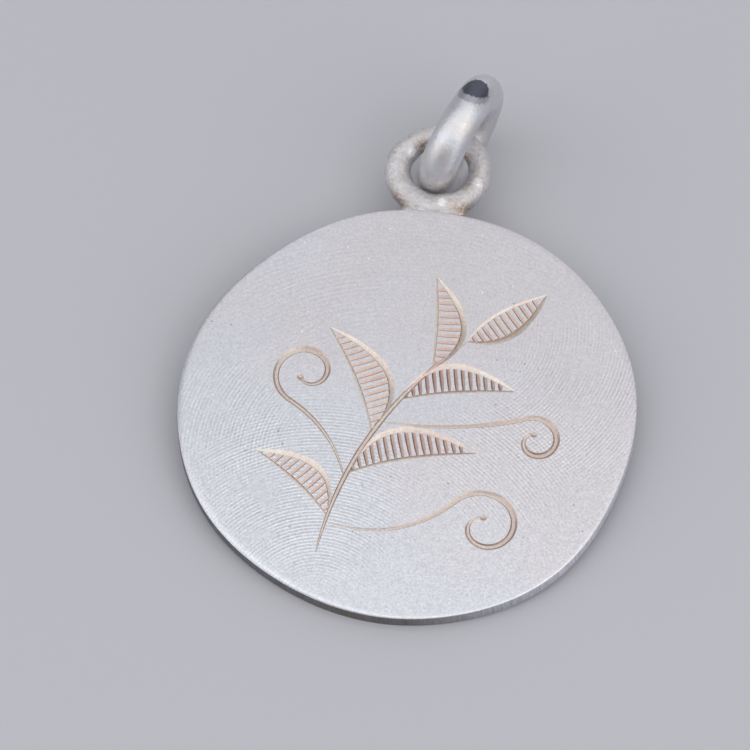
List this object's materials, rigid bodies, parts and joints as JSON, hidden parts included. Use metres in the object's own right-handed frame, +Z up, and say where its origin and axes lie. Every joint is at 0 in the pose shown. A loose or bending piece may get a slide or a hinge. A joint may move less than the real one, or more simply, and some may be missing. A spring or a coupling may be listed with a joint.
{
  "type": "engraved disc pendant",
  "caption": "Round silver disc pendant with an engraved leaf spray, a wire ring soldered to its edge and a loose wire bail, lying face up.",
  "frame": {"origin": "on the table, under the middle of the whole pendant as it lies", "axes": "+Y from the disc to the bail along the pendant's length, +Z up from the table, +X to the right seen from above"},
  "size_m": [0.022, 0.0292, 0.0066],
  "materials": {
    "satin_silver": "sterling silver, hand sanded to a satin, with tarnish in the engraved lines",
    "bright_silver": "sterling silver wire, polished and lightly worn"
  },
  "bodies": {
    "root": {"medal": "satin_silver", "bail": "bright_silver"}
  },
  "joints": []
}
